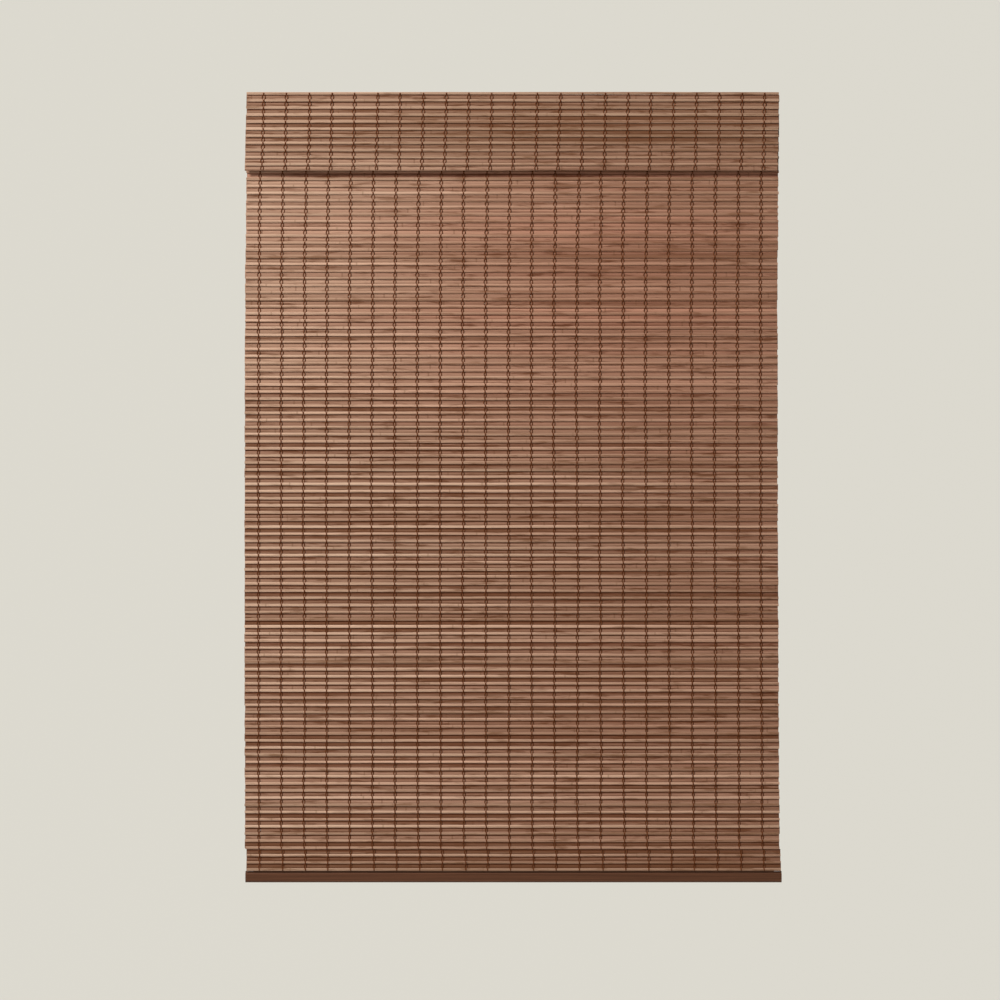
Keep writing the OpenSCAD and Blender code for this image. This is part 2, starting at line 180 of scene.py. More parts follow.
@dataclass(frozen=True)
class BambooFinish:
    """Split bamboo, stained and waxed: long streaky fibres, a darker ring at each joint of the cane."""

    name: str
    dark: str
    light: str
    warm: str
    # Colour of the painted shade in the recesses under the reeds
    recess_shade_colour: str = "5C2D12"
    roughness: float = 0.55
    ior: float = 1.5
    gloss: float = 0.15
    # Real fibres are about 0.3 mm high, too fine to show, so they are drawn about 1 mm high
    fibres: GrainLayer = GrainLayer((140.0, 6.0, 1.1), (0.25, 0.75), (-0.26, 0.26), roughness=0.6)
    streaks: GrainLayer = GrainLayer((420.0, 30.0, 3.4), (0.25, 0.75), (-0.30, 0.30), detail=2.0)
    smudges: GrainLayer = GrainLayer((60.0, 30.0, 7.0), (0.54, 0.70), (0.06, -0.42), roughness=0.65)
    relief: float = 0.35
    relief_mm: float = 0.25
    joint_spacing_mm: float = 330.0
    joint_width_mm: float = 2.2
    joint_strength: float = 0.55

    def make(self) -> bpy.types.Material:
        """Builds the material.

        Tone per stick, fine fibres, broad streaks and short dark smudges are added up to a level
        between the dark and the light colour. The warm colour comes in by the warmth attribute, which also
        warms the painted shade, and the painted shade in the recesses under the reeds by the stain
        attribute. A joint is the place where the distance along the stick, with the stick's own offset,
        wraps round.

        Returns:
            The bamboo material.
        """
        material, tree = empty_material(self.name)
        place = add_node(tree, "ShaderNodeTexCoord").outputs["Object"]
        tone, warmth, offset, stain = [
            add_node(tree, "ShaderNodeAttribute", attribute_name=name).outputs["Fac"]
            for name in ("tone", "warmth", "joint_offset", "stain")
        ]
        fibre, fine = self.fibres.add(tree, place)
        broad = self.streaks.add(tree, place)[1]
        short = self.smudges.add(tree, place)[1]
        lines = add_node(tree, "ShaderNodeMath", {0: fine, 1: broad}, operation="ADD").outputs[0]
        grain = add_node(tree, "ShaderNodeMath", {0: lines, 1: short}, operation="ADD").outputs[0]
        level = add_node(tree, "ShaderNodeMath", {0: tone, 1: grain}, operation="ADD", use_clamp=True)
        along = add_node(tree, "ShaderNodeSeparateXYZ", {0: place}).outputs["X"]
        shifted = add_node(tree, "ShaderNodeMath", {0: along, 1: offset}, operation="ADD")
        wrapped = add_node(
            tree,
            "ShaderNodeMath",
            {0: shifted.outputs[0], 1: self.joint_spacing_mm * MM * 0.5},
            operation="PINGPONG",
        )
        ring = add_node(
            tree,
            "ShaderNodeMapRange",
            {0: wrapped.outputs[0], 1: 0.0, 2: self.joint_width_mm * MM, 3: self.joint_strength, 4: 0.0},
            interpolation_type="SMOOTHSTEP",
        )
        colour = linear(self.dark)
        for share, over, blend in (
            (level.outputs[0], self.light, "MIX"),
            (warmth, self.warm, "MULTIPLY"),
            (ring.outputs[0], self.dark, "MIX"),
            # Painted shade in the recesses under the reeds
            (stain, self.recess_shade_colour, "MIX"),
        ):
            colour = add_node(
                tree,
                "ShaderNodeMix",
                {MIX_SHARE: share, MIX_FIRST: colour, MIX_SECOND: linear(over)},
                data_type="RGBA",
                blend_type=blend,
            ).outputs[MIX_RESULT]
        bump = add_node(
            tree,
            "ShaderNodeBump",
            {"Height": fibre, "Strength": self.relief, "Distance": self.relief_mm * MM},
        )
        shader = add_node(
            tree,
            "ShaderNodeBsdfPrincipled",
            {
                "Base Color": colour,
                "Roughness": self.roughness,
                "IOR": self.ior,
                "Specular IOR Level": self.gloss,
                "Normal": bump.outputs[0],
            },
        )
        add_node(tree, "ShaderNodeOutputMaterial", {"Surface": shader.outputs[0]})
        return material


@dataclass(frozen=True)
class HardFinish:
    """A paint, metal, plastic, yarn or tape: two close colours, one texture and its relief."""

    name: str
    colour: str
    second: str
    roughness: float
    roughness_span: float
    texture_mm: tuple[float, float, float]
    relief_mm: float
    metallic: float = 0.0
    sheen: float = 0.0
    gloss: float = 0.5
    relief: float = 0.5
    reach: tuple[float, float] = (0.3, 0.7)

    def make(self) -> bpy.types.Material:
        """Builds the material.

        A noise as long, deep and high as texture_mm mixes the two colours, moves the roughness
        across its span and lifts the surface by relief_mm.

        Returns:
            The material.
        """
        material, tree = empty_material(self.name)
        place = add_node(tree, "ShaderNodeTexCoord").outputs["Object"]
        noise, share = GrainLayer(self.texture_mm, self.reach, (0.0, 1.0)).add(tree, place)
        mixed = add_node(
            tree,
            "ShaderNodeMix",
            {MIX_SHARE: share, MIX_FIRST: linear(self.colour), MIX_SECOND: linear(self.second)},
            data_type="RGBA",
        )
        smoothest, roughest = self.roughness - self.roughness_span, self.roughness + self.roughness_span
        rough = add_node(
            tree,
            "ShaderNodeMapRange",
            {0: noise, 1: self.reach[0], 2: self.reach[1], 3: smoothest, 4: roughest},
        )
        bump = add_node(
            tree,
            "ShaderNodeBump",
            {"Height": noise, "Strength": self.relief, "Distance": self.relief_mm * MM},
        )
        shader = add_node(
            tree,
            "ShaderNodeBsdfPrincipled",
            {
                "Base Color": mixed.outputs[MIX_RESULT],
                "Metallic": self.metallic,
                "Roughness": rough.outputs[0],
                "Sheen Weight": self.sheen,
                "Specular IOR Level": self.gloss,
                "Normal": bump.outputs[0],
            },
        )
        add_node(tree, "ShaderNodeOutputMaterial", {"Surface": shader.outputs[0]})
        return material


@dataclass
class Skin:
    """Closed sections carried along paths: rings[s, i, j] is point j at station i of strip s."""

    rings: np.ndarray
    finish: int
    values: dict[str, np.ndarray] = field(default_factory=dict)

    def faces(self, first: int) -> tuple[np.ndarray, np.ndarray]:
        """Joins each point to its neighbour round the section and to the next station.

        Args:
            first: number of the skin's first vertex in the mesh.

        Returns:
            The quads of the sides, and the polygons that close both ends of every strip.
        """
        strips, stations, corners = self.rings.shape[:3]
        at = first + np.arange(strips * stations * corners).reshape(strips, stations, corners)
        beside = np.roll(at, -1, axis=2)
        quads = np.stack([at[:, :-1], beside[:, :-1], beside[:, 1:], at[:, 1:]], axis=-1)
        ends = np.concatenate([at[:, 0, ::-1], at[:, -1]])
        return quads.reshape(-1, 4), ends

    def spread(self, name: str) -> np.ndarray:
        """Spreads a value given per strip, station or point over all vertices.

        Args:
            name: the attribute's name.

        Returns:
            One value for each vertex, 0 where the skin has none.
        """
        value = np.asarray(self.values.get(name, 0.0), dtype=np.float32)
        value = value.reshape(value.shape + (1,) * (3 - value.ndim))
        return np.broadcast_to(value, self.rings.shape[:3]).ravel()


def skin_mesh(
    name: str, skins: list[Skin], finishes: list[bpy.types.Material], sharp: float
) -> bpy.types.Object:
    """Puts several skins into one mesh object at the origin.

    Args:
        name: the piece's name.
        skins: the skins, in order.
        finishes: the materials that the skins' finish numbers point to.
        sharp: angle in radians above which an edge between two faces stays sharp.

    Returns:
        The linked object, smooth shaded, with the skins' values as vertex attributes.
    """
    mesh = bpy.data.meshes.new(name)
    first = 0
    loops, sizes, numbers = [], [], []
    for skin in skins:
        quads, ends = skin.faces(first)
        first += skin.rings.size // 3
        loops += [quads.ravel(), ends.ravel()]
        sizes += [np.full(len(quads), 4), np.full(len(ends), ends.shape[1])]
        numbers.append(np.full(len(quads) + len(ends), skin.finish))
    points = np.concatenate([skin.rings.ravel() for skin in skins]).astype(np.float32)
    corner_index = np.concatenate(loops).astype(np.int32)
    totals = np.concatenate(sizes)
    starts = np.concatenate([[0], np.cumsum(totals)[:-1]]).astype(np.int32)
    mesh.vertices.add(first)
    mesh.vertices.foreach_set("co", points)
    mesh.loops.add(len(corner_index))
    mesh.loops.foreach_set("vertex_index", corner_index)
    mesh.polygons.add(len(starts))
    mesh.polygons.foreach_set("loop_start", starts)
    for finish in finishes:
        mesh.materials.append(finish)
    mesh.polygons.foreach_set("material_index", np.concatenate(numbers).astype(np.int32))
    mesh.update(calc_edges=True)
    mesh.validate()
    mesh.shade_smooth()
    mesh.set_sharp_from_angle(angle=sharp)
    for key in sorted({key for skin in skins for key in skin.values}):
        store = mesh.attributes.new(key, "FLOAT", "POINT")
        store.data.foreach_set("value", np.concatenate([skin.spread(key) for skin in skins]))
    piece = bpy.data.objects.new(name, mesh)
    bpy.context.collection.objects.link(piece)
    return piece


def fill_steps(rings: np.ndarray, parts: int) -> np.ndarray:
    """Divides each step between stations into equal parts along a straight line.

    Args:
        rings: the rings of some strips.
        parts: number of parts in a step.

    Returns:
        The rings with the new stations between the old ones.
    """
    share = np.arange(parts)[None, None, :, None, None] / parts
    here, there = rings[:, :-1, None], rings[:, 1:, None]
    steps = (here * (1.0 - share) + there * share).reshape(len(rings), -1, *rings.shape[2:])
    return np.concatenate([steps, rings[:, -1:]], axis=1)


@dataclass(frozen=True)
class Ripple:
    """Slow unevenness along a stick or yarn: wave lengths in mm, and the usual height of their sum."""

    lengths: tuple[float, ...]
    size: float

    def draw(self, rng: np.random.Generator, count: int, along: np.ndarray) -> np.ndarray:
        """Adds up one sine per wave length, each with a random phase and strength for every strip.

        Args:
            rng: seeded random numbers.
            count: number of strips.
            along: distance along the strips, in mm.

        Returns:
            One row of offsets for each strip.
        """
        waves = np.array(self.lengths)[None, :, None]
        phase = rng.uniform(0.0, FULL_TURN, (count, len(self.lengths), 1))
        gain = rng.normal(0.0, 1.0, (count, len(self.lengths), 1))
        total = (gain * np.sin(FULL_TURN * along[None, None, :] / waves + phase)).sum(axis=1)
        return self.size * total / np.sqrt(len(self.lengths))


@dataclass(frozen=True)
class ColourDrift:
    """Slow change of colour over the hanging shade: soft round patches, added up.

    Each patch is the middle across and down, the spread across and down, all in mm, and a strength.
    """

    patches: tuple[tuple[float, float, float, float, float], ...]

    def at(self, across: np.ndarray, height: np.ndarray) -> np.ndarray:
        """Adds up the patches, each a bell curve of the distance from its middle.

        Args:
            across: x of the points, in mm.
            height: z of the points, in mm.

        Returns:
            The sum at each point.
        """
        total = np.zeros(np.broadcast(across, height).shape)
        for middle_x, middle_z, spread_x, spread_z, strength in self.patches:
            reach = ((across - middle_x) / spread_x) ** 2 + ((height - middle_z) / spread_z) ** 2
            total = total + strength * np.exp(-0.5 * reach)
        return total


# Where the cane took the stain redder or, below 0, greyer, as on the valance. The narrow one at -137
# is painted shade: it makes the shadow line under the valance's foot redder
RED_AND_SHADE_DRIFT = ColourDrift(
    (
        (420.0, -620.0, 420.0, 700.0, 0.34),
        (90.0, -260.0, 260.0, 110.0, 0.34),
        (270.0, -430.0, 220.0, 120.0, 0.18),
        (-120.0, -480.0, 160.0, 90.0, 0.16),
        (-40.0, -1130.0, 420.0, 130.0, 0.16),
        (0.0, -50.0, 700.0, 45.0, -0.32),
        # Painted shade: a redder shadow line under the valance's foot
        (0.0, -137.0, 900.0, 3.0, 0.75),
    )
)
# Where bands of cane are paler or darker: the upper left paler, bands down the mat paler and darker,
# the valance darker. The one at -1320 paints shade on the hem. The narrow ones at -137 to -140, here
# and above, are painted shade: they deepen the shadow line at the valance's foot, and ease it on the
# right and at the left end
TONE_AND_SHADE_DRIFT = ColourDrift(
    (
        (-330.0, -300.0, 260.0, 170.0, 0.18),
        (80.0, -230.0, 300.0, 120.0, 0.08),
        (0.0, -780.0, 420.0, 190.0, -0.04),
        (0.0, -630.0, 600.0, 60.0, 0.04),
        (0.0, -905.0, 600.0, 75.0, -0.10),
        (0.0, -1045.0, 600.0, 60.0, 0.05),
        (0.0, -1200.0, 600.0, 60.0, -0.03),
        (300.0, -905.0, 300.0, 75.0, -0.04),
        (180.0, -200.0, 260.0, 110.0, -0.11),
        # Painted shade on the hem
        (0.0, -1320.0, 600.0, 22.0, -0.20),
        # Painted shade: the shadow line at the valance's foot, eased by the next two
        (0.0, -137.0, 900.0, 3.0, -0.50),
        (340.0, -139.5, 130.0, 3.5, 0.60),
        (-440.0, -139.5, 25.0, 3.5, 0.70),
        (0.0, -60.0, 700.0, 40.0, -0.16),
        (60.0, -60.0, 260.0, 40.0, -0.10),
        (300.0, -60.0, 300.0, 40.0, -0.06),
        (400.0, -950.0, 280.0, 500.0, -0.06),
    )
)
# Painted light and shade by region. Above 0 the reeds are painted lighter, the slats darker and the
# recesses given more painted shade; below 0 reeds and slats come close in tone and the recesses are
# painted lighter against the lamps' shade
PAINTED_ROW_SHADING = ColourDrift(
    (
        (300.0, -220.0, 360.0, 210.0, -0.90),
        (-300.0, -200.0, 300.0, 180.0, -0.40),
        (-250.0, -1000.0, 400.0, 300.0, 0.42),
        (400.0, -900.0, 240.0, 500.0, -0.38),
        (0.0, -190.0, 600.0, 80.0, -0.20),
        (330.0, -700.0, 280.0, 150.0, -0.22),
        (0.0, -60.0, 900.0, 40.0, 0.55),
    )
)


@dataclass
class WovenStrip:
    """Rows of one flat slat and one reed each, tied by columns of thread pairs.

    Depths are measured forward from the back plane of the strip, drops downward from the top of a
    row, all in mm. A strip has one or more sections, each a CAD node on a body. A stick's tone is its
    usual value, the usual difference between sticks, and how far it rises with the painted row shading:
    a painted highlight on the reeds, painted shade on the slats.
    joint_spread, how far a stick's joints may be moved along it, is in metres.
    """

    weave: Weave
    sections: list[tuple[str, str]]
    warp_span: tuple[float, float]
    order: RowOrder
    seed: int
    lean: tuple[float, ...] = (0.0, 0.0)
    bow: float = 0.0
    oddness: tuple[float, ...] = (1.0, 1.0)
    odd_limit: float = 1.5
    warmth_spread: float = 0.08
    joint_spread: float = 0.33
    warps: int = 23
    pitch: float = 12.2
    edge: float = 0.3
    stations: int = 36
    end_spread: float = 0.5
    end_limit: float = 0.6
    push: Ripple = Ripple((500.0, 200.0), 0.05)
    swell: Ripple = Ripple((600.0, 170.0), 0.03)
    # Flat slats
    slat_rise: Ripple = Ripple((900.0, 380.0, 140.0), 0.16)
    # Its last value is painted shade: slats darken where the painted row shading is above 0
    slat_tone: tuple[float, float, float] = (0.37, 0.16, -0.20)
    slat_drop: tuple[float, float] = (-1.0, 10.4)
    slat_back: float = 0.15
    slat_face: float = 1.36
    slat_crown: float = 0.10
    slat_steps: tuple[float, float] = (1.9, 1.9)
    step_spread: float = 0.35
    step_limit: float = 0.8
    slat_end: float = 8.7
    bare_ends: tuple[float, float] = (8.1, 8.2)
    arris: tuple[float, float] = (0.15, 0.2)
    face_in: tuple[float, float] = (0.5, 0.55)
    back_in: float = 0.3
    thin_back: float = 0.55
    thin_front: float = 0.85
    tuck_drop: float = -2.2
    fold_drops: tuple[float, float] = (-1.6, -3.2)
    tuck_back: float = 0.28
    tuck_front: float = 0.48
    # Painted light and shade in the recesses: how far the painted shade is warmed, and how far the recesses
    # are painted lighter where the painted row shading is below 0
    painted_shade_warmth: float = 0.5
    painted_recess_light: float = 0.9
    # Round reeds
    reed_rise: Ripple = Ripple((900.0, 380.0, 140.0), 0.14)
    # Its last value is a painted highlight: reeds lighten where the painted row shading is above 0
    reed_tone: tuple[float, float, float] = (0.545, 0.18, 0.35)
    reed_shift: float = 8.1
    reed_drop: tuple[float, float] = (7.0, 11.9)
    reed_depth: tuple[float, float] = (1.3, 2.75)
    reed_spread: float = 0.06
    reed_limits: tuple[float, float] = (0.85, 1.1)
    reed_corners: int = 8
    fibre_sharp: float = 0.9
    # Warp threads, and how they cross a fold
    warp_drift: Ripple = Ripple((700.0, 230.0), 0.7)
    warp_jitter: float = 0.22
    strand_width: float = 0.9
    strand_depth: float = 0.42
    strand_corners: int = 5
    back_depth: float = 0.25
    back_corners: int = 4
    slack_spread: float = 0.14
    slack_limits: tuple[float, float] = (0.6, 1.25)
    loop_fade: float = 0.32
    fade_drop: float = 1300.0
    strand_drops: tuple[float, ...] = (0.0, 1.2, 2.7, 4.3, 5.9, 7.3, 8.5, 10.0, 11.2)
    strand_opens: tuple[float, ...] = (0.45, 1.55, 2.30, 2.55, 2.30, 1.55, 0.70, 0.48, 0.45)
    strand_fronts: tuple[float, ...] = (1.75, 1.78, 1.80, 1.80, 1.85, 2.15, 2.62, 3.05, 2.75)
    strand_swells: tuple[float, ...] = (0.85, 0.95, 1.0, 1.0, 1.0, 0.95, 0.85, 0.8, 0.8)
    back_drops: tuple[float, ...] = (0.5, 4.0, 8.0, 11.0)
    back_fronts: tuple[float, ...] = (-0.02, -0.06, -0.06, 0.02)
    yarn_margins: tuple[float, float] = (0.05, 0.2)
    front_parts: int = 3
    back_parts: int = 6
    bend_reach: tuple[float, float] = (1.0, 0.5)

    def __post_init__(self) -> None:
        """Reads the strip's place, its rows and its ends from the CAD nodes."""
        boxes = [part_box(node) for node, _ in self.sections]
        self.rows_of = [round((high.z - low.z) / (self.pitch * MM)) for low, high in boxes]
        self.row_count = sum(self.rows_of)
        self.top = boxes[0][1].z / MM + self.edge
        self.back = boxes[0][1].y / MM
        self.left = boxes[0][0].x / MM
        self.right = boxes[0][1].x / MM
        self.firsts = np.concatenate([[0], np.cumsum(self.rows_of)[:-1]])
        self.row_tops = self.top - self.pitch * np.arange(self.row_count)
        self.bottom = boxes[-1][0].z / MM
        self.slat_tops = self.reed_tops = self.thread_tops = self.row_tops
        if self.order is RowOrder.REED_FIRST:
            self.slat_tops = self.row_tops + self.reed_shift - self.pitch
            self.reed_tops = self.row_tops + self.reed_shift
            self.thread_tops = np.append(self.reed_tops, self.slat_tops[-1])
        self.rng = np.random.default_rng(self.seed)

    def down_strip(self, values: tuple[float, ...], height: np.ndarray) -> np.ndarray:
        """Reads a value that changes from the top of the strip to its foot.

        Args:
            values: the value at even steps down the strip, joined by straight lines.
            height: heights, in mm.

        Returns:
            The value at each height.
        """
        share = (self.top - height) / (self.pitch * self.row_count)
        return np.interp(share, np.linspace(0.0, 1.0, len(values)), values)

    def stick_rings(self, profiles: np.ndarray, tops: np.ndarray, wander: Ripple) -> np.ndarray:
        """Carries a stick's section from side to side along each row.

        The section is moved up and down and in and out by a slow ripple, and its height swells and
        shrinks by a few percent, as split cane does.

        Args:
            profiles: (drop, depth) points of each row's section, in mm.
            tops: height of the top of each row, in mm.
            wander: rise and fall of the stick's line.

        Returns:
            The rings, in metres.
        """
        count = len(tops)
        along = np.linspace(0.0, 1.0, self.stations)
        shift = self.down_strip(self.lean, tops)
        uneven = self.rng.normal(0.0, self.end_spread, (2, count))
        ends = np.clip(uneven, -self.end_limit, self.end_limit)
        left, right = self.left + shift + ends[0], self.right + shift + ends[1]
        across = left[:, None] + (right - left)[:, None] * along[None, :]
        span = np.linspace(self.left, self.right, self.stations)
        rise = wander.draw(self.rng, count, span)
        push = self.push.draw(self.rng, count, span)
        swell = 1.0 + self.swell.draw(self.rng, count, span)
        middle = profiles[:, :, 0].mean(axis=1)[:, None, None]
        own = profiles[:, None, :, 0] - middle
        rings = np.empty((count, self.stations, profiles.shape[1], 3))
        rings[..., 0] = across[:, :, None]
        rings[..., 1] = self.back - profiles[:, None, :, 1] - push[:, :, None]
        rings[..., 2] = tops[:, None, None] + rise[:, :, None] - middle - swell[:, :, None] * own
        return rings * MM

    def stick_values(
        self, rings: np.ndarray, base: float, spread: float, lift: float
    ) -> dict[str, np.ndarray]:
        """Gives each stick its tone, the slow colour drift and the place of its joints.

        Args:
            rings: the sticks' rings.
            base: usual tone.
            spread: usual difference in tone between sticks.
            lift: how much the tone rises with the painted row shading; positive on reeds, a painted
                highlight, and negative on slats, painted shade.

        Returns:
            Attribute arrays by name, one row per stick.
        """
        across = rings[:, :, 0, 0] / MM
        height = rings[:, :, 0, 2] / MM
        each = (len(rings), 1)
        odd = np.clip(self.rng.normal(0.0, 1.0, each), -self.odd_limit, self.odd_limit)
        own = base + spread * self.down_strip(self.oddness, height[:, :1]) * odd
        # Painted light and shade in the tone: the drift's narrow patches shade the valance's foot and the
        # hem, and the row shading lightens reeds and darkens slats by region
        tone = own + TONE_AND_SHADE_DRIFT.at(across, height) + lift * PAINTED_ROW_SHADING.at(across, height)
        warmth = RED_AND_SHADE_DRIFT.at(across, height) + self.rng.normal(0.0, self.warmth_spread, each)
        offset = self.rng.uniform(0.0, self.joint_spread, each)
        return {"tone": tone, "warmth": np.clip(warmth, 0.0, 1.0), "joint_offset": offset}

    def slats(self) -> Skin:
        """Flat split slats, one in every row.

        The section is a bar with a crowned face. Its lower edge is shaved thin behind its own reed, and
        its upper edge behind the slat above, so that no light comes through. Below a fold that
        turns about the back of the mat the upper edge stays short, to leave room, and below one that
        turns about the front, which opens the back, it is longer. Each point is a drop, a depth,
        the share of painted recess shade there, and how much painted shade from the reed above
        darkens the face.

        Returns:
            The slats of all rows.
        """
        count = self.row_count
        uneven = self.rng.normal(0.0, self.step_spread, count)
        step = np.linspace(*self.slat_steps, count) + np.clip(uneven, -self.step_limit, self.step_limit)
        end = np.full(count, self.slat_drop[1])
        low = np.full(count, self.slat_end)
        if self.order is RowOrder.REED_FIRST:
            low[-1], end[-1] = self.bare_ends
        top = np.full(count, self.tuck_drop)
        top[self.firsts[::2]], top[self.firsts[1::2]] = self.fold_drops
        top[0] = self.slat_drop[0]
        middle = (step + low) / 2
        arris = self.arris[0]
        shoulder = self.slat_face - self.arris[1]
        points = [
            (top, self.tuck_back, 0.65, 0.0),
            (top, self.tuck_front, 0.65, 0.0),
            (step, self.thin_front, 0.65, 0.0),
            (step + arris, shoulder, 0.35, 0.16),
            (step + self.face_in[0], self.slat_face, 0.06, 0.20),
            (middle, self.slat_face + self.slat_crown, 0.0, 0.09),
            (low - self.face_in[1], self.slat_face, 0.0, 0.0),
            (low - arris, shoulder, 0.0, 0.0),
            (low, self.thin_front, 0.3, 0.0),
            (end, self.thin_front, 0.7, 0.0),
            (end, self.thin_back, 0.7, 0.0),
            (low, self.thin_back, 0.7, 0.0),
            (low - self.back_in, self.slat_back, 0.1, 0.0),
            (step + self.back_in, self.slat_back, 0.1, 0.0),
            (step, self.thin_back, 0.65, 0.0),
        ]
        drops = np.stack([point[0] for point in points], axis=1)
        depths, stain, shade = np.array([point[1:] for point in points]).T
        profiles = np.stack([drops, np.broadcast_to(depths, drops.shape)], axis=2)
        rings = self.stick_rings(profiles, self.slat_tops, self.slat_rise)
        values = self.stick_values(rings, *self.slat_tone)
        # Painted shade, warmed red-brown, in the recesses and on each slat's face just below the reed above;
        # where the painted row shading is below 0 the recesses are painted lighter instead
        contrast = PAINTED_ROW_SHADING.at(rings[:, :, :1, 0] / MM, rings[:, :, :1, 2] / MM)
        pale = np.clip(-contrast, 0.0, 1.0)
        values["stain"] = (1.0 - pale) * stain
        values["tone"] = values["tone"][:, :, None] + self.painted_recess_light * pale * stain - shade
        values["warmth"] = np.clip(values["warmth"][:, :, None] + self.painted_shade_warmth * stain, 0.0, 1.0)
        return Skin(rings, 0, values)

    def reeds(self) -> Skin:
        """Thin round reeds, one on the front of every row: an ellipse carried from side to side.

        Returns:
            The reeds of all rows.
        """
        high = (self.reed_drop[1] - self.reed_drop[0]) / 2
        deep = (self.reed_depth[1] - self.reed_depth[0]) / 2
        turn = np.linspace(0.0, FULL_TURN, self.reed_corners, endpoint=False) + np.pi / self.reed_corners
        size = np.clip(self.rng.normal(1.0, self.reed_spread, (self.row_count, 1)), *self.reed_limits)
        drops = sum(self.reed_drop) / 2 - size * high * np.cos(turn)
        depths = sum(self.reed_depth) / 2 + np.ones_like(size) * deep * np.sin(turn)
        rings = self.stick_rings(np.stack([drops, depths], axis=2), self.reed_tops, self.reed_rise)
        return Skin(rings, 1, self.stick_values(rings, *self.reed_tone))

    def warp_lines(self) -> np.ndarray:
        """Lays out the warp columns: even steps across, a bow, slow drift and small jitter.

        Returns:
            Sideways place of each column at each row top and at the foot, in mm.
        """
        share = np.linspace(0.0, 1.0, self.warps)
        first, last = self.warp_span
        start = first + (last - first) * share + self.bow * np.sin(np.pi * share)
        heights = np.append(self.thread_tops, self.thread_tops[-1] - self.pitch)
        drift = self.warp_drift.draw(self.rng, self.warps, heights)
        jitter = self.rng.normal(0.0, self.warp_jitter, drift.shape)
        return start[:, None] + drift + jitter + self.down_strip(self.lean, heights)[None, :]

    def strand_rings(
        self,
        lines: np.ndarray,
        drops: tuple[float, ...],
        opens: np.ndarray,
        fronts: tuple[float, ...],
        widths: np.ndarray,
        depth: float,
        corners: int,
    ) -> np.ndarray:
        """Carries an oval yarn section down the columns, station by station through every row.

        Args:
            lines: sideways place of each column at each row top.
            drops: drop of each station in a row.
            opens: sideways offset of the yarn at each station, by column and row.
            fronts: depth of the yarn's middle at each station.
            widths: half width of the yarn at each station.
            depth: half depth of the yarn.
            corners: points round the section.

        Returns:
            Rings of one strip per column, in metres.
        """
        drop = np.array(drops)
        share = drop / self.pitch
        across = lines[:, :-1, None] * (1.0 - share) + lines[:, 1:, None] * share + opens
        heights = self.thread_tops[:, None] - drop[None, :]
        middle, height, front, wide = [
            np.broadcast_to(values, across.shape).reshape(len(lines), -1, 1)
            for values in (across, heights, np.array(fronts), widths)
        ]
        turn = np.linspace(0.0, FULL_TURN, corners, endpoint=False)
        rings = np.empty((len(lines), heights.size, corners, 3))
        rings[..., 0] = middle + wide * np.cos(turn)
        rings[..., 1] = self.back - front - depth * np.sin(turn)
        rings[..., 2] = height
        above, below = self.yarn_margins
        inside = (heights.ravel() < self.top + above) & (heights.ravel() > self.bottom + below)
        return rings[:, inside] * MM

    def threads(self) -> tuple[np.ndarray, np.ndarray]:
        """Warp yarns of the whole strip.

        Two front strands open round each slat and close over each reed, so that they read as a
        chain of loops, which is drawn tighter towards the foot of the shade, where more weight
        hung on it. One straight strand runs down the back.

        Returns:
            Rings of the front strands, and rings of the back strands.
        """
        lines = self.warp_lines()
        rows = len(self.thread_tops)
        shape = (self.warps, rows, 1)
        swell = np.array(self.strand_swells) * self.strand_width
        fall = np.clip(-self.thread_tops / self.fade_drop, 0.0, 1.0)
        loose = (1.0 - self.loop_fade * fall)[None, :, None]
        sides = []
        for side in (-1.0, 1.0):
            slack = np.clip(self.rng.normal(1.0, self.slack_spread, shape), *self.slack_limits)
            opens = side * slack * loose * np.array(self.strand_opens)
            strand = self.strand_rings(
                lines,
                self.strand_drops,
                opens,
                self.strand_fronts,
                swell,
                self.strand_depth,
                self.strand_corners,
            )
            sides.append(strand)
        straight = np.zeros((self.warps, rows, len(self.back_drops)))
        widths = np.full(len(self.back_drops), self.strand_width)
        back = self.strand_rings(
            lines, self.back_drops, straight, self.back_fronts, widths, self.back_depth, self.back_corners
        )
        return np.concatenate(sides), back

    def build(self, sticks: list[bpy.types.Material], yarn: bpy.types.Material) -> list[bpy.types.Object]:
        """Makes the sticks and threads of each section, and the thread bridges between sections.

        Args:
            sticks: the finishes of slats and reeds.
            yarn: the finish of the warp threads.

        Returns:
            All the pieces of the strip.
        """
        slats, reeds = self.slats(), self.reeds()
        front, back = self.threads()
        per_front, per_back = len(self.strand_drops), len(self.back_drops)
        pieces = []
        for (node, body), first, rows in zip(self.sections, self.firsts, self.rows_of):
            last = first + rows
            cut = [
                Skin(skin.rings[first:last], skin.finish, {k: v[first:last] for k, v in skin.values.items()})
                for skin in (slats, reeds)
            ]
            woven = skin_mesh(f"{node}_sticks", cut, sticks, self.fibre_sharp)
            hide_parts(node)
            begin = first * per_front + (1 if first else 0)
            whole = last == self.row_count
            front_end = front.shape[1] if whole else last * per_front
            back_end = back.shape[1] if whole else last * per_back
            yarns = [Skin(front[:, begin:front_end], 0), Skin(back[:, first * per_back : back_end], 0)]
            tied = skin_mesh(f"{node}_threads", yarns, [yarn], np.pi)
            for piece in (woven, tied):
                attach(piece, body)
                pieces.append(piece)
        for upper, lower, first in zip(self.sections[:-1], self.sections[1:], self.firsts[1:]):
            pieces.append(self.bridge(lower, int(first), front, back, yarn))
        return pieces

